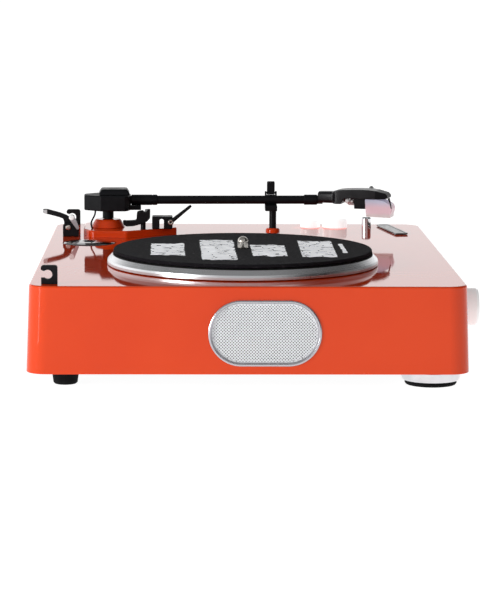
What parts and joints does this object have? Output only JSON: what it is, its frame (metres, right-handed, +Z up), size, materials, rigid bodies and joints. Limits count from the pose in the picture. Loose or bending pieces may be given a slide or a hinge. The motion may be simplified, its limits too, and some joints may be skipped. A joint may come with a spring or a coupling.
{
  "type": "record player",
  "caption": "Compact belt-drive turntable with side speakers, parked tonearm, cue lever, deck controls, front knob, centre adapter and rear hinge hardware for a removed lid.",
  "frame": {"origin": "on the floor under the middle of the cabinet", "axes": "+X to the right across the cabinet, +Y to the back, +Z up; the front panel faces -Y"},
  "size_m": [0.356, 0.3016, 0.1046],
  "materials": {
    "orange_gloss": "high gloss moulded plastic",
    "base_black": "fine matte",
    "chrome": "mirror",
    "black_rubber": "matte",
    "steel": "zinc plated",
    "silver_paint": "satin silver",
    "grille_white": "satin off-white, perforated",
    "black_satin": "satin",
    "nickel": "polished nickel",
    "aluminium": "fine turned satin",
    "felt_black": "felt with a worn white abstract print",
    "brass": "turned",
    "guard_pink": "translucent",
    "knob_white": "semi-gloss",
    "board_green": "circuit board",
    "badge_metal": "brushed, blank",
    "gunmetal": "gloss gunmetal"
  },
  "bodies": {
    "root": {"cabinet_shell": "orange_gloss", "tonearm_base": "orange_gloss", "tonearm_turret": "orange_gloss", "arm_rest_ring": "orange_gloss", "base_plate": "base_black", "foot_ring_front_left": "chrome", "foot_ring_front_right": "chrome", "foot_pad_front_left": "black_rubber", "foot_pad_front_right": "black_rubber", "foot_rear_left": "black_rubber", "foot_rear_right": "black_rubber", "drive_belt": "black_rubber", "base_screw_front_left": "steel", "base_screw_front_right": "steel", "base_screw_rear_left": "steel", "base_screw_rear_right": "steel", "speaker_bezel_left": "silver_paint", "speaker_bezel_right": "silver_paint", "speaker_grille_left": "grille_white", "speaker_grille_right": "grille_white", "speaker_driver_left": "black_satin", "speaker_driver_right": "black_satin", "dc_inlet": "black_satin", "rca_jack_left": "nickel", "rca_jack_right": "nickel", "bearing_sleeve": "brass", "motor_can": "steel", "arm_rest_post": "black_satin", "cue_bracket": "black_satin", "volume_pot": "steel", "control_board": "board_green", "circuit_board": "board_green", "badge_plate": "badge_metal", "lid_hinge_clip_left": "black_satin", "lid_hinge_clip_right": "black_satin", "lid_stay_bracket": "black_satin"},
    "platter": {"platter": "aluminium", "slipmat": "felt_black", "spindle": "nickel"},
    "pulley": {"motor_pulley": "brass"},
    "arm_swing": {"tonearm_yoke": "black_satin", "gimbal_pin": "steel"},
    "arm": {"arm_housing": "black_satin", "arm_cap": "black_satin", "arm_tube": "black_satin", "headshell": "black_satin", "cartridge": "black_satin"},
    "guard": {"stylus_guard": "guard_pink"},
    "cue_lever": {"cue_lever": "black_satin"},
    "cue_lift": {"cue_lift": "black_satin"},
    "rest_clip": {"arm_rest_clip": "black_satin"},
    "front_knob": {"front_knob": "knob_white"},
    "selector_small": {"selector_small": "knob_white"},
    "selector_large": {"selector_large": "knob_white"},
    "power_button": {"power_button": "chrome"},
    "lid_stay": {"lid_stay_arm": "black_satin", "lid_stay_pin": "steel", "lid_stay_link": "steel"},
    "adapter": {"adapter_45": "gunmetal"}
  },
  "joints": [
    {"name": "platter_spin", "type": "hinge", "parent": "root", "child": "platter", "pos_m": [-0.061, 0.0014, 0.07], "axis": [0, 0, 1], "continuous": true},
    {"name": "pulley_spin", "type": "hinge", "parent": "root", "child": "pulley", "pos_m": [-0.00431, -0.04617, 0.069], "axis": [0, 0, 1], "continuous": true},
    {"name": "tonearm_swing", "type": "hinge", "parent": "root", "child": "arm_swing", "pos_m": [0.11, 0.0985, 0.08], "axis": [0, 0, -1], "range_deg": [0, 46]},
    {"name": "tonearm_lift", "type": "hinge", "parent": "arm_swing", "child": "arm", "pos_m": [0.11, 0.0985, 0.0883], "axis": [-0.9994, -0.0349, 0], "range_deg": [-1, 12]},
    {"name": "guard_drop", "type": "slide", "parent": "arm", "child": "guard", "axis": [0, 0, -1], "range_m": [0, 0.006]},
    {"name": "cue_lever_tilt", "type": "hinge", "parent": "root", "child": "cue_lever", "pos_m": [0.0903, 0.0516, 0.0768], "axis": [1, 0, 0], "range_deg": [0, 50]},
    {"name": "cue_lift_rise", "type": "slide", "parent": "root", "child": "cue_lift", "axis": [0, 0, 1], "range_m": [0, 0.002]},
    {"name": "rest_clip_swing", "type": "hinge", "parent": "root", "child": "rest_clip", "pos_m": [0.1196, -0.0236, 0.0959], "axis": [0, -1, 0], "range_deg": [0, 88]},
    {"name": "front_knob_turn", "type": "hinge", "parent": "root", "child": "front_knob", "pos_m": [-0.12, -0.147, 0.0453], "axis": [0, 1, 0], "range_deg": [0, 280]},
    {"name": "selector_small_turn", "type": "hinge", "parent": "root", "child": "selector_small", "pos_m": [0.151, -0.055, 0.068], "axis": [0, 0, -1], "range_deg": [-30, 30]},
    {"name": "selector_large_turn", "type": "hinge", "parent": "root", "child": "selector_large", "pos_m": [0.15, -0.074, 0.068], "axis": [0, 0, -1], "range_deg": [-30, 30]},
    {"name": "power_button_press", "type": "slide", "parent": "root", "child": "power_button", "axis": [0, 0, -1], "range_m": [0, 0.0022], "stiffness_N_per_m": 300},
    {"name": "lid_stay_swing", "type": "hinge", "parent": "root", "child": "lid_stay", "pos_m": [0.092, 0.1273, 0.0729], "axis": [1, 0, 0], "range_deg": [0, 50]},
    {"name": "adapter_lift", "type": "slide", "parent": "root", "child": "adapter", "axis": [0, 0, 1], "range_m": [0, 0.02]}
  ],
  "couplings": [
    {"joint": "pulley_spin", "follows": "platter_spin", "ratio": 20},
    {"joint": "cue_lever_tilt", "follows": "cue_lift_rise", "rad_per_m": 436.3}
  ]
}
